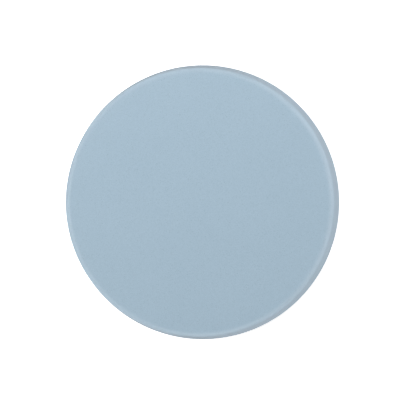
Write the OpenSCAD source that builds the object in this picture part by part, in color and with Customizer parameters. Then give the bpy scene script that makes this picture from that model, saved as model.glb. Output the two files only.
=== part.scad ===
// Round disc air stone, 100 mm across.
// A bonded mineral disc closes an air chamber over a moulded base. Air comes in
// through a barbed elbow that turns freely under the middle of the base, and four
// suction cups stand the disc clear of the floor so that the hose can pass.
// The lips of the suction cups lie on z = 0 and the disc's axis is the Z axis.

/* [Stone] */
// Diameter of the stone at its lower edge
stone_d = 100; // [96:1:130]
// Height of the stone
stone_h = 14; // [11:0.5:20]
// How much smaller the stone's radius is at the top than at its lower edge
stone_draft = 1.35; // [0.4:0.05:2]
// Radius of the rounded upper edge
edge_r = 2.1; // [0.8:0.1:3]
// Width of the stone's solid rim round the air chamber
rim_w = 10; // [9:0.5:13]
// Depth of the air chamber in the stone's underside
chamber_h = 5; // [4.5:0.5:6]

/* [Base] */
// Height of the cup bosses' faces above the floor
foot_h = 6.6; // [6.4:0.1:8]
// Depth of the cup bosses below the base's floor
boss_h = 4.4; // [4.4:0.1:5]
// Thickness of the base's floor
floor_t = 2.4; // [2:0.1:2.8]
// Thickness of the sealant bead between the base and the stone
seal_t = 0.6; // [0.4:0.1:1]
// Width of the stiffening ribs
rib_w = 1.6; // [1.2:0.1:2.4]
// Number of stiffening ribs on each side of the floor
rib_n = 8; // [4:4:16]

/* [Inlet] */
// Diameter of the bore that the elbow's stem turns in
bore_d = 8; // [7.6:0.1:8.4]
// Radial clearance of the stem in its bore
stem_gap = 0.05; // [0.03:0.01:0.1]
// Diameter over the crests of the hose barb
barb_d = 4.8; // [4.6:0.1:5.2]
// Distance between the teeth of the hose barb
barb_pitch = 3.6; // [3:0.1:3.8]
// Diameter of the air way through the barb
air_d = 2.6; // [2:0.1:2.8]

/* [Suction cups] */
// Diameter of a suction cup's lip
cup_d = 20; // [16:0.5:21]
// Distance of the cups from the disc's axis
cup_circle = 33; // [31:0.5:35]
// Height of the hollow under a cup
cup_hollow = 3.4; // [2.6:0.1:3.6]

/* [Hidden] */
$fn = 96;

// Levels, from the floor up
z_floor = foot_h + boss_h;            // underside of the base's floor
z_seal = z_floor + floor_t;           // top of the base's floor
z_stone = z_seal + seal_t;            // underside of the stone
z_top = z_stone + stone_h;            // face of the stone
z_ceil = z_stone + chamber_h;         // ceiling of the air chamber

// Stone
stone_r = stone_d / 2;
lower_ch = 0.4;                                   // chamfer of the lower edge
wall_z = z_stone + lower_ch;                      // where the tapered wall starts
draft = atan(stone_draft / (z_top - wall_z));     // slope of the wall
edge_z = z_top - edge_r;
edge_c = stone_r - (edge_z - wall_z) * tan(draft) - edge_r / cos(draft);
chamber_r = stone_r - rim_w;
ceil_r = 1.5;                                     // round at the chamber's ceiling

// Base
base_r = stone_r - 1;
base_edge = 0.9;                                  // round of the base's lower edge
skirt_r = base_r - 2.9;                           // middle of the bead under the base
skirt_w = 1.8;
ring_out = chamber_r - 0.4;                       // ring that centres the stone
ring_t = 1.4;
boss_r = 6.5;
mouth_r = 3.1;
ledge_t = 1.6;
cavity_r = 4.6;
inlet_boss_r = 8.5;
inlet_boss_h = 2;
collar_r = 6.5;
collar_h = 0.7;
bore_r = bore_d / 2;

// Elbow
stem_r = bore_r - stem_gap;
flange_gap = 0.1;
flange_z = z_floor - inlet_boss_h - flange_gap;   // top of the flange
flange_t = 1.3;
flange_r = 6.2;
axis_z = flange_z - 4;                            // height of the barb's axis
ball_r = 4;
riser_r = 3.6;
arm_r = 3.4;
arm_x = 6.2;
ring_groove_r = bore_r - 1.25;
ring_groove_z = z_floor + 0.2;                    // middle of the seal ring's groove
clip_groove_r = bore_r - 1;
clip_z = z_seal + collar_h + 0.2;                 // lower side of the clip's groove
clip_t = 0.7;
stem_top = clip_z + clip_t + 1.4;
barb_r = barb_d / 2;
barb_root = barb_r - 0.4;
barb_x = arm_x + 0.9;                             // where the barb leaves its collar
land = 0.6;                                       // flat crest of a tooth
teeth = 3;
first_land = barb_x + 1.5;
tip_x = first_land + (teeth - 1) * barb_pitch + land + 2.4;

// Suction cups
cup_r = cup_d / 2;
lip_w = 0.8;
lip_h = 0.45;
shoulder_r = 4.6;
shoulder_z = foot_h - 1.2;
neck_r = 3;
head_r = 4.3;
head_z = foot_h + ledge_t + 0.1;
head_top = z_floor - 0.3;

// Points of a quadratic curve from a through b's pull to c, without the end points
function bend(a, b, c, n) = [for (i = [1 : n - 1]) let (t = i / n)
    (1 - t) * (1 - t) * a + 2 * t * (1 - t) * b + t * t * c];

// The stone: tapered wall, rounded upper edge, air chamber underneath
module porous_stone() {
    color([0.66, 0.745, 0.80])
    rotate_extrude()
    difference() {
        union() {
            polygon([[0, z_stone], [stone_r - lower_ch, z_stone], [stone_r, wall_z],
                     [edge_c + edge_r * cos(draft), edge_z + edge_r * sin(draft)],
                     [edge_c, z_top], [0, z_top]]);
            translate([edge_c, edge_z]) circle(r = edge_r);
        }
        polygon([[-1, z_stone - 1], [chamber_r, z_stone - 1], [chamber_r, z_ceil - ceil_r],
                 [chamber_r - ceil_r, z_ceil], [-1, z_ceil]]);
        translate([chamber_r - ceil_r, z_ceil - ceil_r]) circle(r = ceil_r);
    }
}

// The sealant bead: a flat ring that joins the stone's rim to the base
module bond_seal() {
    color([0.86, 0.87, 0.85])
    translate([0, 0, z_seal])
    difference() {
        cylinder(r = stone_r - 1.6, h = seal_t);
        translate([0, 0, -1]) cylinder(r = chamber_r + 0.8, h = seal_t + 2);
    }
}

// Everything on the base that is round about the disc's axis
module base_rounds() {
    rotate_extrude() {
        polygon([[0, z_floor], [base_r - base_edge, z_floor], [base_r, z_floor + base_edge],
                 [base_r, z_seal - 0.3], [base_r - 0.3, z_seal], [0, z_seal]]);
        translate([base_r - base_edge, z_floor + base_edge]) circle(r = base_edge);
        translate([skirt_r - skirt_w / 2, z_floor - 1.4]) square([skirt_w, 2]);
        translate([ring_out - ring_t, z_seal - 0.5]) square([ring_t, 2.5]);
        translate([0, z_floor - inlet_boss_h]) square([inlet_boss_r, inlet_boss_h + 1]);
        translate([0, z_seal - 1]) square([collar_r, collar_h + 1]);
    }
}

module rib(r0, r1, z, h) {
    translate([r0, -rib_w / 2, z]) cube([r1 - r0, rib_w, h]);
}

module at_cups() {
    for (a = [45 : 90 : 315]) rotate(a) translate([cup_circle, 0, 0]) children();
}

// The base: floor, bead, centring ring, ribs, inlet boss and the four cup sockets
module base_plate() {
    color([0.42, 0.50, 0.57])
    difference() {
        union() {
            base_rounds();
            for (i = [0 : rib_n - 1]) rotate(i * 360 / rib_n) {
                rib(inlet_boss_r - 0.5, skirt_r, z_floor - 1.4, 2);
                rib(9, ring_out - ring_t / 2, z_seal - 0.5, 1.9);
            }
            at_cups() translate([0, 0, foot_h]) cylinder(r = boss_r, h = boss_h + 0.5);
        }
        translate([0, 0, foot_h]) cylinder(r = bore_r, h = 20);
        at_cups() {
            translate([0, 0, foot_h - 1]) cylinder(r = mouth_r, h = ledge_t + 2);
            translate([0, 0, foot_h + ledge_t]) cylinder(r = cavity_r, h = boss_h - ledge_t);
        }
    }
}

// The elbow's stem with its two grooves and the flange under the base
module stem() {
    rotate_extrude()
    polygon([[0, flange_z - flange_t], [flange_r - 0.4, flange_z - flange_t], [flange_r, flange_z - flange_t + 0.4],
             [flange_r, flange_z - 0.3], [flange_r - 0.3, flange_z], [stem_r, flange_z],
             [stem_r, ring_groove_z - 0.8], [ring_groove_r, ring_groove_z - 0.8],
             [ring_groove_r, ring_groove_z + 0.8], [stem_r, ring_groove_z + 0.8],
             [stem_r, clip_z], [clip_groove_r, clip_z],
             [clip_groove_r, clip_z + clip_t + 0.1], [stem_r, clip_z + clip_t + 0.1],
             [stem_r, stem_top - 0.45], [stem_r - 0.45, stem_top], [0, stem_top]]);
}

// The hose barb along +X: a collar, three teeth with flat crests and a lead-in tip
module barb() {
    rotate([0, 90, 0])
    rotate_extrude()
    polygon(concat(
        [[0, arm_x - 1], [arm_r + 0.3, arm_x - 1], [arm_r + 0.3, barb_x - 0.3], [arm_r, barb_x], [barb_root, barb_x]],
        [for (i = [0 : teeth - 1]) let (x = first_land + i * barb_pitch)
            each [[barb_root, x - 0.3], [barb_r, x], [barb_r, x + land],
                  [barb_root, i == teeth - 1 ? tip_x - 0.4 : x + barb_pitch - 0.5]]],
        [[barb_root - 0.3, tip_x], [0, tip_x]]));
}

// The elbow: air comes in along the barb and goes up through the stem
module inlet_elbow() {
    color([0.36, 0.43, 0.50])
    difference() {
        union() {
            stem();
            translate([0, 0, axis_z]) {
                cylinder(r = riser_r, h = flange_z - 0.5 - axis_z);
                sphere(r = ball_r);
                rotate([0, 90, 0]) cylinder(r = arm_r, h = arm_x);
                barb();
            }
        }
        translate([0, 0, axis_z - 1.7]) cylinder(r = 1.6, h = stem_top - axis_z + 3);
        translate([0, 0, axis_z]) rotate([0, 90, 0]) cylinder(r = air_d / 2, h = tip_x + 1);
    }
}

// The seal ring in the stem's lower groove
module inlet_o_ring() {
    color([0.10, 0.10, 0.11])
    translate([0, 0, ring_groove_z])
    rotate_extrude() translate([bore_r - 0.63, 0]) circle(r = 0.6);
}

// The open clip that holds the stem from inside the chamber
module inlet_clip() {
    color([0.75, 0.76, 0.78])
    rotate(30)
    rotate_extrude(angle = 300)
    translate([clip_groove_r + 0.02, clip_z + 0.05]) square([2.58, clip_t]);
}

// A suction cup about its own axis: lip, bell, shoulder, neck and the button that holds it in its socket
module suction_cup() {
    lip = [cup_r, lip_h];
    shoulder = [shoulder_r, shoulder_z];
    inner = cup_r - lip_w;
    color([0.80, 0.84, 0.86])
    rotate_extrude()
    polygon(concat(
        [[inner, 0], [cup_r, 0], lip],
        bend(lip, [cup_r - 1.8, 3.6], shoulder, 9),
        [shoulder, [shoulder_r, foot_h], [neck_r, foot_h], [neck_r, head_z], [head_r - 0.3, head_z], [head_r, head_z + 0.3],
         [head_r, head_z + 0.9]],
        bend([head_r, head_z + 0.9], [head_r - 0.4, head_top], [1.6, head_top], 6),
        [[1.6, head_top], [0, head_top]],
        [for (i = [0 : 11]) let (r = inner * i / 12) [r, cup_hollow * (1 - pow(r / inner, 2))]]));
}

module suction_cup_back_right() rotate(45) translate([cup_circle, 0, 0]) suction_cup();
module suction_cup_back_left() rotate(135) translate([cup_circle, 0, 0]) suction_cup();
module suction_cup_front_left() rotate(225) translate([cup_circle, 0, 0]) suction_cup();
module suction_cup_front_right() rotate(315) translate([cup_circle, 0, 0]) suction_cup();

porous_stone();
bond_seal();
base_plate();
inlet_elbow();
inlet_o_ring();
inlet_clip();
suction_cup_front_right();
suction_cup_back_right();
suction_cup_back_left();
suction_cup_front_left();
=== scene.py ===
import math

import bmesh
import bpy
import numpy as np
from mathutils import Matrix, Vector, noise


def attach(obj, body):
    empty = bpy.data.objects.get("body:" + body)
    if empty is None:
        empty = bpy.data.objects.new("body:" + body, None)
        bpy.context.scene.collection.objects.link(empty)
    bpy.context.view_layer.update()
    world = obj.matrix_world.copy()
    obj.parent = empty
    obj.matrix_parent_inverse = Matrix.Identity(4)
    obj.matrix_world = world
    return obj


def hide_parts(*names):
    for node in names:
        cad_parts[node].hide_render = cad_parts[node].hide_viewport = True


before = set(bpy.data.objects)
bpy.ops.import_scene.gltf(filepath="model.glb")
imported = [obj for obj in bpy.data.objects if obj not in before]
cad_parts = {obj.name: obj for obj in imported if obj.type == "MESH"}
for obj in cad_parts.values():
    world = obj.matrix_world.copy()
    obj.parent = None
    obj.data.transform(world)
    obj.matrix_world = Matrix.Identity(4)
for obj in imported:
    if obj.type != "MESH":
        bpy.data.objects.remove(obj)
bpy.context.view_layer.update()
scene = bpy.context.scene
MM = 0.001

# ---------------------------------------------------------------- dimensions, in millimetres
Z_FOOT, Z_FLOOR, Z_SEAL, Z_STONE, Z_TOP = 6.6, 11.0, 13.4, 14.0, 28.0
STONE_R, STONE_DRAFT, EDGE_R, LOWER_CH = 50.0, 1.35, 2.1, 0.4
CHAMBER_R, Z_CEIL, CEIL_R = 40.0, 19.0, 1.5
WALL_Z = Z_STONE + LOWER_CH
DRAFT = math.atan(STONE_DRAFT / (Z_TOP - WALL_Z))
CROWN, CROWN_R = 0.10, 42.0      # the face is faintly crowned: it falls by this much outside this radius
EDGE_Z = Z_TOP - CROWN - EDGE_R
EDGE_C = STONE_R - (EDGE_Z - WALL_Z) * math.tan(DRAFT) - EDGE_R / math.cos(DRAFT)
BASE_R, SKIRT_R, RING_OUT = 49.0, 46.1, 39.6
CUP_CIRCLE, CUP_R = 33.0, 10.0
BORE_R = 4.0
FLANGE_Z = 8.9
AXIS_Z = 4.9


# ---------------------------------------------------------------- mesh helpers
def rounded(points, seg=5):
    """A closed outline whose corners (x, y, radius) are rounded with true arcs."""
    out = []
    n = len(points)
    for i in range(n):
        x, y, r = points[i]
        p = np.array((x, y), float)
        a = np.array(points[i - 1][:2], float) - p
        b = np.array(points[(i + 1) % n][:2], float) - p
        la, lb = np.linalg.norm(a), np.linalg.norm(b)
        if r <= 0 or la < 1e-9 or lb < 1e-9:
            out.append(tuple(p))
            continue
        a, b = a / la, b / lb
        cosang = float(np.clip(a @ b, -1, 1))
        ang = math.acos(cosang)
        if ang > math.pi - 1e-4:
            out.append(tuple(p))
            continue
        d = min(r / math.tan(ang / 2), 0.49 * la, 0.49 * lb)
        r = d * math.tan(ang / 2)
        bis = a + b
        c = p + bis / np.linalg.norm(bis) * (r / math.sin(ang / 2))
        p0, p1 = p + a * d, p + b * d
        t0 = math.atan2(p0[1] - c[1], p0[0] - c[0])
        t1 = math.atan2(p1[1] - c[1], p1[0] - c[0])
        turn = (t1 - t0 + math.pi) % (2 * math.pi) - math.pi
        for k in range(seg + 1):
            t = t0 + turn * k / seg
            out.append((c[0] + r * math.cos(t), c[1] + r * math.sin(t)))
    return out


def subdivide(path, step, closed=True):
    """Adds points so that no side of the path is longer than step."""
    out = []
    n = len(path)
    for i in range(n if closed else n - 1):
        a, b = np.array(path[i]), np.array(path[(i + 1) % n])
        k = max(1, int(math.ceil(np.linalg.norm(b - a) / step)))
        out += [tuple(a + (b - a) * j / k) for j in range(k)]
    if not closed:
        out.append(tuple(path[-1]))
    return out


def lathe(path, seg, closed=True, start=0.0, turn=2 * math.pi):
    """Vertices and faces of a profile of (r, z) turned about Z. An open profile may start and end on the axis."""
    full = turn > 2 * math.pi - 1e-6
    cols = seg if full else seg + 1
    ang = start + np.arange(cols) * turn / seg
    ca, sa = np.cos(ang), np.sin(ang)
    verts, index = [], []
    for r, z in path:
        if abs(r) < 1e-6:
            index.append([len(verts)] * cols)
            verts.append((0.0, 0.0, z))
        else:
            first = len(verts)
            index.append(list(range(first, first + cols)))
            verts += [(r * ca[j], r * sa[j], z) for j in range(cols)]
    faces = []
    n = len(path)
    for i in range(n if closed else n - 1):
        lo, hi = index[i], index[(i + 1) % n]
        for j in range(seg):
            k = (j + 1) % cols
            quad = [lo[j], lo[k], hi[k], hi[j]]
            tidy = [q for m, q in enumerate(quad) if q != quad[m - 1]]
            if len(tidy) > 2:
                faces.append(tidy)
    if not full:
        faces.append([index[i][0] for i in range(n)][::-1])
        faces.append([index[i][-1] for i in range(n)])
    return verts, faces


def prism(outline, x0, x1, steps=1):
    """A closed bar along X whose cross-section is an outline of (y, z)."""
    n = len(outline)
    verts, faces = [], []
    for s in range(steps + 1):
        x = x0 + (x1 - x0) * s / steps
        verts += [(x, y, z) for y, z in outline]
    for s in range(steps):
        for i in range(n):
            j = (i + 1) % n
            faces.append([s * n + i, s * n + j, (s + 1) * n + j, (s + 1) * n + i])
    faces.append(list(range(n))[::-1])
    faces.append([steps * n + i for i in range(n)])
    return verts, faces


def joined(parts):
    """One list of vertices and faces from several."""
    verts, faces = [], []
    for v, f in parts:
        base = len(verts)
        verts += [tuple(p) for p in v]
        faces += [[i + base for i in face] for face in f]
    return verts, faces


def moved(part, matrix):
    v, f = part
    return [tuple(matrix @ Vector(p)) for p in v], f


def turned(part, degrees, offset=(0, 0, 0)):
    return moved(part, Matrix.Rotation(math.radians(degrees), 4, "Z") @ Matrix.Translation(offset))


def mesh_from(name, part):
    """A mesh in metres with outward normals."""
    verts, faces = part
    me = bpy.data.meshes.new(name)
    me.from_pydata([(x * MM, y * MM, z * MM) for x, y, z in verts], [], faces)
    me.validate()
    bm = bmesh.new()
    bm.from_mesh(me)
    bmesh.ops.recalc_face_normals(bm, faces=bm.faces)
    bm.to_mesh(me)
    bm.free()
    me.update()
    return me


def temp_object(name, part):
    o = bpy.data.objects.new(name, mesh_from(name, part))
    scene.collection.objects.link(o)
    return o


def evaluated_mesh(o):
    bpy.context.view_layer.update()
    dg = bpy.context.evaluated_depsgraph_get()
    return bpy.data.meshes.new_from_object(o.evaluated_get(dg))


def drop(o):
    me = o.data
    bpy.data.objects.remove(o)
    if me.users == 0:
        bpy.data.meshes.remove(me)


def boolean(o, operation, tool):
    """The object's mesh after a boolean with another object, which is removed."""
    m = o.modifiers.new("cut", "BOOLEAN")
    m.operation, m.solver, m.object = operation, "EXACT", tool
    me = evaluated_mesh(o)
    o.modifiers.clear()
    old = o.data
    o.data = me
    bpy.data.meshes.remove(old)
    drop(tool)
    return o


def clean(me, dist=1e-7):
    bm = bmesh.new()
    bm.from_mesh(me)
    bmesh.ops.remove_doubles(bm, verts=bm.verts, dist=dist)
    bmesh.ops.dissolve_degenerate(bm, edges=bm.edges, dist=dist)
    bmesh.ops.recalc_face_normals(bm, faces=bm.faces)
    bm.to_mesh(me)
    bm.free()
    me.update()


def smooth(me, degrees=None):
    me.polygons.foreach_set("use_smooth", [True] * len(me.polygons))
    if degrees is not None:
        me.set_sharp_from_angle(angle=math.radians(degrees))
    me.update()


def piece(name, me, mat, body, node):
    o = bpy.data.objects.new(name, me)
    scene.collection.objects.link(o)
    o.data.materials.clear()
    o.data.materials.append(mat)
    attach(o, body)
    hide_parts(node)
    return o


# ---------------------------------------------------------------- material helpers
def material(name):
    m = bpy.data.materials.new(name)
    m.use_nodes = True
    nt = m.node_tree
    return m, nt, nt.nodes["Principled BSDF"]


def add(nt, kind, links=(), **values):
    """A node with its sockets set by name, and links as (socket, output)."""
    n = nt.nodes.new(kind)
    for k, v in values.items():
        if k.startswith("_"):
            setattr(n, k[1:], v)
    for k, v in values.items():
        if not k.startswith("_"):
            n.inputs[k.replace("__", " ")].default_value = v
    for socket, out in links:
        nt.links.new(out, n.inputs[socket])
    return n


def mapped(nt, out, a, b, c, d, interp="LINEAR"):
    n = add(nt, "ShaderNodeMapRange", _interpolation_type=interp)
    nt.links.new(out, n.inputs[0])
    for i, v in zip((1, 2, 3, 4), (a, b, c, d)):
        n.inputs[i].default_value = v
    return n.outputs[0]


def math_node(nt, op, a, b=None):
    n = add(nt, "ShaderNodeMath", _operation=op)
    for i, v in enumerate((a, b)):
        if v is None:
            continue
        if isinstance(v, (int, float)):
            n.inputs[i].default_value = v
        else:
            nt.links.new(v, n.inputs[i])
    return n.outputs[0]


def mixed(nt, fac, a, b, blend="MIX"):
    """A colour mix; a and b are colours or outputs."""
    n = add(nt, "ShaderNodeMix", _data_type="RGBA", _blend_type=blend)
    for i, v in ((0, fac), (6, a), (7, b)):
        if isinstance(v, (int, float)):
            n.inputs[i].default_value = v
        elif isinstance(v, tuple):
            n.inputs[i].default_value = (*v, 1.0)
        else:
            nt.links.new(v, n.inputs[i])
    return n.outputs[2]


def noise_tex(nt, coord, scale, detail=2.0, rough=0.5, stretch=None):
    if stretch is not None:
        m = add(nt, "ShaderNodeMapping", links=[("Vector", coord)])
        m.inputs["Scale"].default_value = stretch
        coord = m.outputs[0]
    n = add(nt, "ShaderNodeTexNoise", links=[("Vector", coord)], Scale=scale, Detail=detail, Roughness=rough)
    return n.outputs[0]


def voronoi(nt, coord, scale, feature="F1"):
    n = add(nt, "ShaderNodeTexVoronoi", _feature=feature, links=[("Vector", coord)], Scale=scale)
    return n


def bump(nt, bsdf, height, strength, distance):
    b = add(nt, "ShaderNodeBump", Strength=strength, Distance=distance)
    nt.links.new(height, b.inputs["Height"])
    nt.links.new(b.outputs[0], bsdf.inputs["Normal"])
    return b


# ---------------------------------------------------------------- materials
def stone_material():
    m, nt, bsdf = material("bonded_stone")
    co = add(nt, "ShaderNodeTexCoord").outputs["Object"]
    grain = noise_tex(nt, co, 1500, 3.0, 0.6)
    cloud = noise_tex(nt, co, 38, 3.0, 0.5)
    # grains of about a fifth of a millimetre, each a shade of its own, and the pores between them
    cells = voronoi(nt, co, 5600)
    shade = add(nt, "ShaderNodeSeparateColor", links=[("Color", cells.outputs["Color"])]).outputs[0]
    fine = noise_tex(nt, co, 4800, 2.0, 0.5)
    holes = voronoi(nt, co, 2600)
    some = add(nt, "ShaderNodeSeparateColor", links=[("Color", holes.outputs["Color"])]).outputs[1]
    # the pores are ragged and of all sizes up to a sixth of a millimetre
    reach = math_node(nt, "ADD", holes.outputs["Distance"],
                      math_node(nt, "ADD", mapped(nt, some, 0.0, 1.0, 0.20, -0.04), mapped(nt, fine, 0.25, 0.75, 0.16, -0.16)))
    pore = mapped(nt, reach, 0.12, 0.27, 1.0, 0.0, "SMOOTHSTEP")
    # grains and slow mottling together, about 0.5
    tone = math_node(nt, "ADD",
                     math_node(nt, "MULTIPLY", grain, 0.22),
                     math_node(nt, "ADD", math_node(nt, "MULTIPLY", shade, 0.58), math_node(nt, "MULTIPLY", cloud, 0.20)))
    tone = mapped(nt, tone, 0.14, 0.86, 0.0, 1.0)
    body = mixed(nt, tone, (0.3125, 0.4325, 0.5295), (0.3805, 0.5045, 0.602))
    # position across the edge: 1 on the rounded upper edge, where the colour is painted lighter: partly wear of the
    # edge, partly a painted highlight along the rounded edge
    sep = add(nt, "ShaderNodeSeparateXYZ", links=[("Vector", co)])
    flat = add(nt, "ShaderNodeVectorMath", _operation="MULTIPLY", links=[(0, co)])
    flat.inputs[1].default_value = (1, 1, 0)
    radius = add(nt, "ShaderNodeVectorMath", _operation="LENGTH", links=[(0, flat.outputs[0])]).outputs["Value"]
    out_edge = mapped(nt, radius, 0.0464, 0.0484, 0.0, 1.0, "SMOOTHSTEP")
    up_edge = mapped(nt, sep.outputs["Z"], 0.0251, 0.0265, 0.0, 1.0, "SMOOTHSTEP")
    edge = math_node(nt, "MULTIPLY", out_edge, up_edge)
    # the lighter edge colour is partly wear and partly a painted highlight
    wear_and_highlight = math_node(nt, "MULTIPLY", edge, mapped(nt, tone, 0.2, 0.8, 0.76, 1.0))
    colour = mixed(nt, wear_and_highlight, body, (0.419, 0.532, 0.627))
    # the steep side is painted greyer and darker than the face: partly a finish of its own, partly painted shade on the
    # side
    side = mapped(nt, sep.outputs["Z"], 0.0264, 0.0248, 0.0, 1.0, "SMOOTHSTEP")
    pressed = mixed(nt, tone, (0.333, 0.424, 0.506), (0.390, 0.490, 0.579))
    colour = mixed(nt, side, colour, pressed)
    # the pores are painted darker: painted shade inside the holes
    colour = mixed(nt, math_node(nt, "MULTIPLY", pore, 0.70), colour, (0.215, 0.290, 0.350))
    nt.links.new(colour, bsdf.inputs["Base Color"])
    nt.links.new(mapped(nt, grain, 0.3, 0.7, 0.48, 0.60), bsdf.inputs["Roughness"])
    bsdf.inputs["Specular IOR Level"].default_value = 0.5
    height = math_node(nt, "ADD", math_node(nt, "MULTIPLY", cells.outputs["Distance"], -0.5), math_node(nt, "MULTIPLY", fine, 0.5))
    height = math_node(nt, "SUBTRACT", height, math_node(nt, "MULTIPLY", pore, 0.9))
    bump(nt, bsdf, height, 0.5, 0.00006)
    return m


def moulded_material(name, dark, light, rough, texture, scale):
    m, nt, bsdf = material(name)
    co = add(nt, "ShaderNodeTexCoord").outputs["Object"]
    cloud = noise_tex(nt, co, 60, 3.0, 0.55)
    fine = noise_tex(nt, co, scale, 2.0, 0.6)
    tone = math_node(nt, "ADD", math_node(nt, "MULTIPLY", cloud, 0.6), math_node(nt, "MULTIPLY", fine, 0.4))
    nt.links.new(mixed(nt, mapped(nt, tone, 0.32, 0.68, 0.0, 1.0), dark, light), bsdf.inputs["Base Color"])
    nt.links.new(mapped(nt, fine, 0.3, 0.7, rough - 0.05, rough + 0.06), bsdf.inputs["Roughness"])
    bump(nt, bsdf, fine, texture, 0.00005)
    return m


def sealant_material():
    m, nt, bsdf = material("sealant")
    co = add(nt, "ShaderNodeTexCoord").outputs["Object"]
    cloud = noise_tex(nt, co, 220, 3.0, 0.5)
    nt.links.new(mixed(nt, mapped(nt, cloud, 0.3, 0.7, 0.0, 1.0), (0.66, 0.68, 0.66), (0.78, 0.79, 0.76)), bsdf.inputs["Base Color"])
    nt.links.new(mapped(nt, cloud, 0.3, 0.7, 0.32, 0.5), bsdf.inputs["Roughness"])
    bsdf.inputs["Subsurface Weight"].default_value = 0.15
    bsdf.inputs["Subsurface Radius"].default_value = (0.0010, 0.0010, 0.0009)
    bump(nt, bsdf, cloud, 0.3, 0.0001)
    return m


def cup_material():
    m, nt, bsdf = material("soft_pvc")
    co = add(nt, "ShaderNodeTexCoord").outputs["Object"]
    cloud = noise_tex(nt, co, 160, 3.0, 0.5)
    fine = noise_tex(nt, co, 1800, 2.0, 0.5)
    nt.links.new(mixed(nt, mapped(nt, cloud, 0.3, 0.7, 0.0, 1.0), (0.78, 0.83, 0.845), (0.84, 0.88, 0.89)), bsdf.inputs["Base Color"])
    nt.links.new(mapped(nt, cloud, 0.3, 0.7, 0.26, 0.36), bsdf.inputs["Roughness"])
    bsdf.inputs["IOR"].default_value = 1.52
    bsdf.inputs["Subsurface Weight"].default_value = 0.6
    bsdf.inputs["Subsurface Radius"].default_value = (0.0020, 0.0022, 0.0024)
    bump(nt, bsdf, fine, 0.08, 0.00003)
    return m


def rubber_material():
    m, nt, bsdf = material("nitrile")
    co = add(nt, "ShaderNodeTexCoord").outputs["Object"]
    fine = noise_tex(nt, co, 4200, 2.0, 0.6)
    nt.links.new(mixed(nt, fine, (0.010, 0.010, 0.011), (0.026, 0.026, 0.027)), bsdf.inputs["Base Color"])
    nt.links.new(mapped(nt, fine, 0.3, 0.7, 0.42, 0.6), bsdf.inputs["Roughness"])
    bump(nt, bsdf, fine, 0.2, 0.00002)
    return m


def steel_material():
    m, nt, bsdf = material("spring_steel")
    co = add(nt, "ShaderNodeTexCoord").outputs["Object"]
    streak = noise_tex(nt, co, 900, 2.0, 0.6, stretch=(1.0, 0.08, 1.0))
    nt.links.new(mixed(nt, mapped(nt, streak, 0.3, 0.7, 0.0, 1.0), (0.50, 0.51, 0.53), (0.66, 0.67, 0.69)), bsdf.inputs["Base Color"])
    bsdf.inputs["Metallic"].default_value = 1.0
    nt.links.new(mapped(nt, streak, 0.3, 0.7, 0.24, 0.40), bsdf.inputs["Roughness"])
    bump(nt, bsdf, streak, 0.15, 0.00002)
    return m


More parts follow.
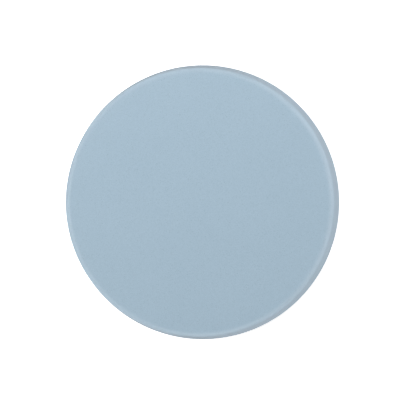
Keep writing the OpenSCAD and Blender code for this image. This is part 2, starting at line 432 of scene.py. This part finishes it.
# ---------------------------------------------------------------- stone
def stone_mesh():
    """The disc with an even net of triangles on its face, so that its fine pressed texture is real relief."""
    rings = 95                      # rings of the flat face; ring i has 6 i points
    seg = 6 * rings
    verts, normals, faces, relief = [(0.0, 0.0, Z_TOP)], [(0.0, 0.0, 1.0)], [], [1.0]
    start = [0]
    lead = math.atan(2 * CROWN / (EDGE_C - CROWN_R))          # slope of the face where it meets the rounded edge
    r_face, z_face = EDGE_C + EDGE_R * math.sin(lead), EDGE_Z + EDGE_R * math.cos(lead)
    crown = lambda r: z_face + CROWN - CROWN * (max(0.0, r - CROWN_R) / (r_face - CROWN_R)) ** 2
    verts[0] = (0.0, 0.0, crown(0))
    for i in range(1, rings + 1):
        start.append(len(verts))
        r = r_face * i / rings
        a = 2 * math.pi * np.arange(6 * i) / (6 * i)
        for t in a:
            verts.append((r * math.cos(t), r * math.sin(t), crown(r)))
            normals.append((0.0, 0.0, 1.0))
            relief.append(1.0)
    for j in range(6):
        faces.append((0, 1 + j, 1 + (j + 1) % 6))
    for i in range(1, rings):
        ni, no = 6 * i, 6 * (i + 1)
        for s in range(6):
            for j in range(i + 1):
                p = start[i] + (s * i + j) % ni
                q0 = start[i + 1] + (s * (i + 1) + j) % no
                q1 = start[i + 1] + (s * (i + 1) + j + 1) % no
                faces.append((p, q0, q1))
                if j < i:
                    faces.append((p, q1, start[i] + (s * i + j + 1) % ni))
    # rounded edge, tapered side, underside and chamber, as rings of the same count
    path = []
    steps = 12
    for k in range(1, steps + 1):
        t = lead + (math.pi / 2 - DRAFT - lead) * k / steps
        path.append((EDGE_C + EDGE_R * math.sin(t), EDGE_Z + EDGE_R * math.cos(t), math.sin(t), math.cos(t), 1.0))
    r1, z1 = path[-1][:2]
    steps = 24
    for k in range(1, steps + 1):
        t = k / steps
        path.append((r1 + (STONE_R - r1) * t, z1 + (WALL_Z - z1) * t, math.cos(DRAFT), math.sin(DRAFT), 1.0 if t < 1 else 0.4))
    path.append((STONE_R - LOWER_CH, Z_STONE, 0.7, -0.7, 0.0))
    for r in (48.0, 46.0, 44.0, 42.0, CHAMBER_R + 0.3):
        path.append((r, Z_STONE, 0, -1, 0.0))
    path.append((CHAMBER_R, Z_STONE + 0.3, -0.7, -0.7, 0.0))
    path.append((CHAMBER_R, (Z_STONE + Z_CEIL) / 2, -1, 0, 0.0))
    for k in range(0, 7):
        t = math.pi / 2 * k / 6
        path.append((CHAMBER_R - CEIL_R + CEIL_R * math.cos(t), Z_CEIL - CEIL_R + CEIL_R * math.sin(t), 0, -1, 0.0))
    for r in (34.0, 26.0, 17.0, 8.0):
        path.append((r, Z_CEIL, 0, -1, 0.0))
    a = 2 * math.pi * np.arange(seg) / seg
    ca, sa = np.cos(a), np.sin(a)
    prev = start[rings]
    for r, z, nr, nz, amount in path:
        first = len(verts)
        for j in range(seg):
            verts.append((r * ca[j], r * sa[j], z))
            normals.append((nr * ca[j], nr * sa[j], nz))
            relief.append(amount)
        for j in range(seg):
            k = (j + 1) % seg
            faces.append((prev + j, first + j, first + k, prev + k))
        prev = first
    tip = len(verts)
    verts.append((0.0, 0.0, Z_CEIL))
    normals.append((0.0, 0.0, -1.0))
    relief.append(0.0)
    for j in range(seg):
        faces.append((prev + j, tip, prev + (j + 1) % seg))
    # relief: slow unevenness of the pressing and the fine grain
    out = []
    for v, n, amount in zip(verts, normals, relief):
        if amount > 0:
            p = Vector(v)
            d = 0.016 * noise.noise(p / 11.0) + 0.011 * noise.noise(p / 0.95) + 0.006 * noise.noise(p / 0.52 + Vector((7.3, 1.9, 4.1)))
            d = (d - 0.018) * amount
            out.append((v[0] + n[0] * d, v[1] + n[1] * d, v[2] + n[2] * d))
        else:
            out.append(v)
    me = mesh_from("porous_stone", (out, faces))
    smooth(me, 40)
    return me


# ---------------------------------------------------------------- sealant
def seal_mesh():
    """The bead: a flat ring whose outer side bulges and wavers where it was squeezed out."""
    seg = 360
    section = rounded([(40.8, Z_SEAL, 0.1), (48.35, Z_SEAL, 0.0), (48.75, Z_SEAL + 0.3, 0.25), (48.35, Z_STONE, 0.0), (40.8, Z_STONE, 0.1)], 4)
    section = subdivide(section, 2.0)
    verts, faces = lathe(section, seg)
    out = []
    for x, y, z in verts:
        r = math.hypot(x, y)
        if r > 48.3:
            a = math.atan2(y, x)
            w = noise.noise(Vector((math.cos(a) * 14, math.sin(a) * 14, 3.0)))
            lift = (r - 48.3) / 0.45
            k = (r + 0.11 * w * lift) / r
            x, y = x * k, y * k
        out.append((x, y, z))
    me = mesh_from("bond_seal", (out, faces))
    smooth(me, 50)
    return me


# ---------------------------------------------------------------- base
def base_mesh():
    """The moulded floor with its bead, centring ring, inlet boss, ribs and four cup sockets, edges rounded as moulded."""
    z = Z_FLOOR
    sk0, sk1 = SKIRT_R - 0.9, SKIRT_R + 0.9
    profile = rounded([
        (BORE_R, z - 2.0, 0.25), (8.5, z - 2.0, 0.4), (8.5, z, 0.5),
        (sk0, z, 0.4), (sk0, z - 1.4, 0.45), (sk1, z - 1.4, 0.45), (sk1, z, 0.3),
        (BASE_R, z, 0.9), (BASE_R, Z_SEAL, 0.3), (RING_OUT, Z_SEAL, 0.25), (RING_OUT, Z_SEAL + 2.0, 0.3),
        (RING_OUT - 1.4, Z_SEAL + 2.0, 0.3), (RING_OUT - 1.4, Z_SEAL, 0.3), (6.5, Z_SEAL, 0.25), (6.5, Z_SEAL + 0.7, 0.2),
        (BORE_R, Z_SEAL + 0.7, 0.2)], 5)
    profile = subdivide(profile, 6.0)
    plate = temp_object("plate", lathe(profile, 288))
    # ribs: flared where they leave the floor, rounded along their free edge
    h = 0.8
    under = rounded([(-h - 0.55, z + 0.5, 0), (-h - 0.55, z - 0.02, 0), (-h, z - 0.5, 0.8), (-h, z - 1.4, 0.4), (h, z - 1.4, 0.4),
                     (h, z - 0.5, 0.8), (h + 0.55, z - 0.02, 0), (h + 0.55, z + 0.5, 0)], 4)
    over = rounded([(h + 0.4, Z_SEAL - 0.5, 0), (h + 0.4, Z_SEAL + 0.02, 0), (h, Z_SEAL + 0.45, 0.6), (h, Z_SEAL + 1.4, 0.35), (-h, Z_SEAL + 1.4, 0.35),
                    (-h, Z_SEAL + 0.45, 0.6), (-h - 0.4, Z_SEAL + 0.02, 0), (-h - 0.4, Z_SEAL - 0.5, 0)], 4)
    boss = rounded([(0.0, z + 0.6, 0), (7.2, z + 0.6, 0), (7.2, z - 0.02, 0), (6.5, z - 0.7, 0.9), (6.5, Z_FOOT, 0.45), (0.0, Z_FOOT, 0)], 5)
    first = [turned(prism(under, 7.9, SKIRT_R), a) for a in (0, 90, 180, 270)]
    first += [turned(prism(over, 9.0, RING_OUT - 0.7), a) for a in range(0, 360, 45)]
    first += [turned(lathe(boss, 96, closed=False), a, (CUP_CIRCLE, 0, 0)) for a in (45, 135, 225, 315)]
    boolean(plate, "UNION", temp_object("first", joined(first)))
    boolean(plate, "UNION", temp_object("second", joined([turned(prism(under, 7.9, SKIRT_R), a) for a in (45, 135, 225, 315)])))
    socket = rounded([(0.0, Z_FOOT - 1, 0), (3.45, Z_FOOT - 1, 0), (3.45, Z_FOOT - 0.02, 0), (3.1, Z_FOOT + 0.33, 0.2), (3.1, Z_FOOT + 1.6, 0.2), (4.6, Z_FOOT + 1.6, 0.15),
                      (4.6, z + 0.015, 0.3), (0.0, z + 0.015, 0)], 4)
    cut = [turned(lathe(socket, 96, closed=False), a, (CUP_CIRCLE, 0, 0)) for a in (45, 135, 225, 315)]
    # the round marks that the moulding's ejector pins leave on the floor
    pin = rounded([(0.0, z - 0.5, 0), (2.2, z - 0.5, 0), (2.2, z + 0.08, 0.05), (0.0, z + 0.08, 0)], 3)
    cut += [turned(lathe(pin, 48, closed=False), a, (r, 0, 0)) for a in (22.5, 67.5, 112.5, 157.5, 202.5, 247.5, 292.5, 337.5) for r in (20.0, 38.0)]
    boolean(plate, "DIFFERENCE", temp_object("cut", joined(cut)))
    me = plate.data
    clean(me, 2e-7)
    me.name = "base_plate"
    smooth(me, 32)
    bpy.data.objects.remove(plate)
    return me


# ---------------------------------------------------------------- elbow
def elbow_mesh():
    """Stem, flange, ball corner, arm and barb as one moulding, blended where they meet."""
    s = 3.95
    stem = rounded([(0.0, FLANGE_Z - 1.3, 0), (6.2, FLANGE_Z - 1.3, 0.4), (6.2, FLANGE_Z, 0.3), (s, FLANGE_Z, 0.0), (s, 10.4, 0), (2.75, 10.4, 0), (2.75, 12.0, 0),
                    (s, 12.0, 0), (s, 14.3, 0), (3.0, 14.3, 0), (3.0, 15.1, 0), (s, 15.1, 0), (s, 15.95, 0), (3.5, 16.4, 0), (0.0, 16.4, 0)], 4)
    body = temp_object("stem", lathe(stem, 128, closed=False))
    riser = lathe([(0.0, AXIS_Z), (3.6, AXIS_Z), (3.6, FLANGE_Z - 0.5), (0.0, FLANGE_Z - 0.5)], 96, closed=False)
    boolean(body, "UNION", temp_object("riser", riser))
    ball = [(4.0 * math.cos(t), AXIS_Z + 4.0 * math.sin(t)) for t in np.linspace(-math.pi / 2, math.pi / 2, 49)]
    ball[0], ball[-1] = (0.0, AXIS_Z - 4.0), (0.0, AXIS_Z + 4.0)
    boolean(body, "UNION", temp_object("ball", lathe(ball, 96, closed=False)))
    arm = [(0.0, 0.3), (3.4, 0.3), (3.4, 5.2), (3.7, 5.35), (3.7, 6.8), (3.4, 7.1), (2.0, 7.1)]
    for i in range(3):
        x = 8.6 + 3.6 * i
        arm += [(2.0, x - 0.3), (2.4, x), (2.4, x + 0.6), (2.0, 18.4 if i == 2 else x + 3.1)]
    arm += [(1.7, 18.8), (0.0, 18.8)]
    along_x = Matrix.Translation((0, 0, AXIS_Z)) @ Matrix.Rotation(math.pi / 2, 4, "Y")
    boolean(body, "UNION", temp_object("arm", moved(lathe(arm, 96, closed=False), along_x)))
    up = lathe([(0.0, AXIS_Z - 1.7), (1.6, AXIS_Z - 1.7), (1.6, 16.0), (2.1, 17.0), (0.0, 17.0)], 64, closed=False)
    boolean(body, "DIFFERENCE", temp_object("up", up))
    way = lathe([(0.0, 0.0), (1.3, 0.0), (1.3, 18.5), (1.7, 19.2), (0.0, 19.2)], 64, closed=False)
    boolean(body, "DIFFERENCE", temp_object("way", moved(way, along_x)))
    m = body.modifiers.new("even", "REMESH")
    m.mode, m.voxel_size = "VOXEL", 0.00016
    m = body.modifiers.new("soften", "SMOOTH")
    m.factor, m.iterations = 0.5, 4
    me = evaluated_mesh(body)
    drop(body)
    # the mould's parting line: a hair-fine ridge in the plane of the arm
    co = np.empty(len(me.vertices) * 3, np.float32)
    me.vertices.foreach_get("co", co)
    no = np.empty(len(me.vertices) * 3, np.float32)
    me.vertices.foreach_get("normal", no)
    co, no = co.reshape(-1, 3), no.reshape(-1, 3)
    outside = np.hypot(co[:, 1], co[:, 2] - AXIS_Z * MM) > 1.9 * MM
    low = (co[:, 2] < (FLANGE_Z - 1.4) * MM) & outside
    ridge = 0.05 * MM * np.exp(-(co[:, 1] / (0.13 * MM)) ** 2) * low
    co += no * ridge[:, None]
    me.vertices.foreach_set("co", co.ravel())
    me.name = "inlet_elbow"
    smooth(me)
    return me


# ---------------------------------------------------------------- seal ring and clip
def ring_mesh():
    """The seal ring with the fine flash line round its inner and outer side."""
    n = 40
    path = []
    for k in range(n):
        t = 2 * math.pi * k / n
        r = 0.6 + (0.02 if k in (0, n // 2) else 0.0)
        path.append((BORE_R - 0.63 + r * math.cos(t), 11.2 + 0.6 * math.sin(t)))
    me = mesh_from("inlet_o_ring", lathe(path, 144))
    smooth(me)
    return me


def clip_mesh():
    """The open clip: a flat strip with rounded edges and rounded ends."""
    section = rounded([(3.02, 14.35, 0.12), (5.6, 14.35, 0.12), (5.6, 15.05, 0.12), (3.02, 15.05, 0.12)], 3)
    seg = 150
    verts, faces = lathe(section, seg, start=math.radians(30), turn=math.radians(300))
    out = []
    mid = 4.31
    for x, y, z in verts:
        a = math.degrees(math.atan2(y, x)) % 360
        r = math.hypot(x, y)
        # the ends are half-round in plan
        for end, way in ((30.0, 1.0), (330.0, -1.0)):
            gap = abs(a - end)
            if gap < 1e-3:
                u = min(1.0, abs(r - mid) / 1.29)
                a = end + way * math.degrees(0.75 * (1 - math.sqrt(1 - 0.98 * u * u)) / r)
        out.append((r * math.cos(math.radians(a)), r * math.sin(math.radians(a)), z))
    me = mesh_from("inlet_clip", (out, faces))
    smooth(me, 50)
    return me


# ---------------------------------------------------------------- suction cups
def bezier(a, b, c, n):
    return [tuple((1 - t) ** 2 * np.array(a) + 2 * t * (1 - t) * np.array(b) + t * t * np.array(c)) for t in np.linspace(0, 1, n)]


def cup_mesh(name, angle):
    """One cup: feathered lip, thin bell with a low ring, shoulder, neck and the button in its socket."""
    inner = CUP_R - 0.8
    outer = bezier((10.0, 0.40), (8.2, 3.6), (4.75, 5.25), 26)
    ring = []
    for r, z in outer:
        bulge = 0.16 * math.exp(-((r - 6.6) / 0.28) ** 2)
        ring.append((r + 0.5 * bulge, z + 0.85 * bulge))
    path = [(inner, 0.0), (9.86, 0.0), (9.96, 0.06), (10.0, 0.18)] + ring
    path += [(4.62, 5.42), (4.6, 5.65), (4.6, 6.30), (4.52, 6.50), (4.35, 6.6), (3.15, 6.6), (3.03, 6.66), (3.0, 6.8), (3.0, 8.10), (3.05, 8.24), (3.2, 8.30),
             (3.9, 8.30), (4.18, 8.36), (4.3, 8.55), (4.3, 9.2)]
    path += bezier((4.3, 9.2), (3.9, 10.7), (1.6, 10.7), 10)[1:] + [(0.0, 10.7)]
    hollow = []
    for r in np.linspace(0, inner, 34)[:-1]:
        z = 3.4 * (1 - (r / inner) ** 2)
        z += 0.10 * math.exp(-((r - 7.4) / 0.16) ** 2) + 0.10 * math.exp(-((r - 8.2) / 0.16) ** 2) - 0.25 * math.exp(-(r / 0.7) ** 2)
        hollow.append((float(r), max(z, 0.02)))
    hollow[0] = (0.0, hollow[0][1])
    me = mesh_from(name, turned(lathe(hollow + path, 112, closed=False), angle, (CUP_CIRCLE, 0, 0)))
    smooth(me, 55)
    return me


# ---------------------------------------------------------------- build
stone_mat = stone_material()
base_mat = moulded_material("base_moulding", (0.118, 0.168, 0.214), (0.142, 0.196, 0.246), 0.46, 0.22, 1700)
elbow_mat = moulded_material("elbow_moulding", (0.080, 0.118, 0.155), (0.100, 0.142, 0.182), 0.36, 0.12, 2400)
cup_mat = cup_material()

piece("stone", stone_mesh(), stone_mat, "disc", "porous_stone")
piece("sealant_bead", seal_mesh(), sealant_material(), "disc", "bond_seal")
base = piece("base", base_mesh(), base_mat, "disc", "base_plate")
wn = base.modifiers.new("even_shading", "WEIGHTED_NORMAL")
wn.keep_sharp = True
piece("elbow", elbow_mesh(), elbow_mat, "inlet", "inlet_elbow")
piece("o_ring", ring_mesh(), rubber_material(), "inlet", "inlet_o_ring")
piece("clip", clip_mesh(), steel_material(), "inlet", "inlet_clip")
for where, angle in (("back_right", 45), ("back_left", 135), ("front_left", 225), ("front_right", 315)):
    piece("cup_" + where, cup_mesh("cup_" + where, angle), cup_mat, "disc", "suction_cup_" + where)


# ---------------------------------------------------------------- stage
def stage_material(name, dark, light, glow=None):
    m, nt, bsdf = material(name)
    co = add(nt, "ShaderNodeTexCoord").outputs["Object"]
    soft = noise_tex(nt, co, 1.5, 2.0, 0.5)
    nt.links.new(mixed(nt, soft, (dark,) * 3, (light,) * 3), bsdf.inputs["Base Color"])
    bsdf.inputs["Roughness"].default_value = 0.9
    bsdf.inputs["Specular IOR Level"].default_value = 0.1
    if glow:
        near, far = glow
        radius = add(nt, "ShaderNodeVectorMath", _operation="LENGTH", links=[(0, co)]).outputs["Value"]
        # the glow is dimmer under the disc: a painted shadow below the object
        even = mapped(nt, radius, 0.030, 0.053, near, far, "SMOOTHSTEP")
        horizon = mapped(nt, radius, 0.4, 1.6, 0.0, 1.02 - far, "SMOOTHSTEP")
        nt.links.new(math_node(nt, "ADD", even, horizon), bsdf.inputs["Emission Strength"])
        bsdf.inputs["Emission Color"].default_value = (1, 1, 1, 1)
    return m


def stage_mesh(name, z):
    """A round white floor that curves up into a low wall all round."""
    path = [(0.0, z)] + [(r, z) for r in (0.2, 0.6, 1.2, 2.0, 2.8)]
    path += [(2.8 + 0.8 * math.sin(t), z + 0.8 - 0.8 * math.cos(t)) for t in np.linspace(0, math.pi / 2, 13)[1:]]
    path += [(3.6, z + 1.2)]
    verts, faces = lathe(path, 128, closed=False)
    me = bpy.data.meshes.new(name)
    me.from_pydata(verts, [], faces)
    smooth(me)
    return me


def stage_sheet(name, z, *look):
    o = bpy.data.objects.new(name, stage_mesh(name, z))
    scene.collection.objects.link(o)
    o.data.materials.append(stage_material(name, *look))
    return o


# the white ground that is seen, which glows and glows less under the disc as a painted shadow; and the plain one that
# throws light back on the object
sweep = stage_sheet("sweep", 0.0, 0.86, 0.89, (0.40, 0.80))
sweep.visible_diffuse = sweep.visible_glossy = sweep.visible_transmission = sweep.visible_shadow = False
bounce = stage_sheet("bounce", -0.0005, 0.64, 0.67)
bounce.visible_camera = False


# ---------------------------------------------------------------- light
def softbox(name, place, target, width, height, power, colour=(1, 1, 1)):
    light = bpy.data.lights.new(name, "AREA")
    light.shape, light.size, light.size_y = "RECTANGLE", width, height
    light.energy, light.color = power, colour
    o = bpy.data.objects.new(name, light)
    scene.collection.objects.link(o)
    o.location = place
    o.rotation_euler = (Vector(target) - Vector(place)).to_track_quat("-Z", "Y").to_euler()
    o.visible_camera = False
    return o


def round_box(name, azimuth, elevation, power, height=0.4):
    """A softbox 1.2 m from the disc, aimed at it."""
    a, e = math.radians(azimuth), math.radians(elevation)
    place = (1.2 * math.cos(e) * math.cos(a), 1.2 * math.cos(e) * math.sin(a), 0.028 + 1.2 * math.sin(e))
    return softbox(name, place, (0, 0, 0.028), 0.5, height, power)


softbox("key_left", (-0.14, 0.14, 0.31), (0, 0, 0.028), 0.22, 0.16, 0.268)
softbox("key_right", (0.14, 0.14, 0.31), (0, 0, 0.028), 0.22, 0.16, 0.367)
round_box("left", 180, 50, 6.61)
round_box("left_fill", 180, 30, 2.44)
round_box("low_front", 270, 12, 5.34)
round_box("low_front_right", 315, 12, 2.54)
round_box("low_right", 0, 5, 4.45, 0.16)
round_box("low_back_right", 45, 5, 3.34, 0.16)
round_box("low_back", 90, 5, 1.68, 0.16)

world = bpy.data.worlds.new("studio")
scene.world = world
world.use_nodes = True
world.node_tree.nodes["Background"].inputs["Color"].default_value = (1, 1, 1, 1)
world.node_tree.nodes["Background"].inputs["Strength"].default_value = 0.04
scene.view_settings.view_transform = "Standard"
scene.view_settings.look = "None"

# ---------------------------------------------------------------- camera: nearly straight down, tipped a little to the right
LENS, SENSOR = 489.0, 36.0
DISTANCE = 2.0
aim = Vector((0.000035, 0.000095, 0.0165))
back = Vector((math.sin(math.radians(5.0)), math.sin(math.radians(0.3)), 1.0))
back.z = math.sqrt(1.0 - back.x ** 2 - back.y ** 2)
cam_data = bpy.data.cameras.new("camera")
cam_data.lens, cam_data.sensor_width = LENS, SENSOR
cam_data.clip_start, cam_data.clip_end = 0.05, 20.0
cam = bpy.data.objects.new("camera", cam_data)
scene.collection.objects.link(cam)
cam.location = aim + back * DISTANCE
right = Vector((0.0, 1.0, 0.0)).cross(back).normalized()
cam.rotation_euler = Matrix((right, back.cross(right), back)).transposed().to_euler()
scene.camera = cam

bpy.context.view_layer.update()
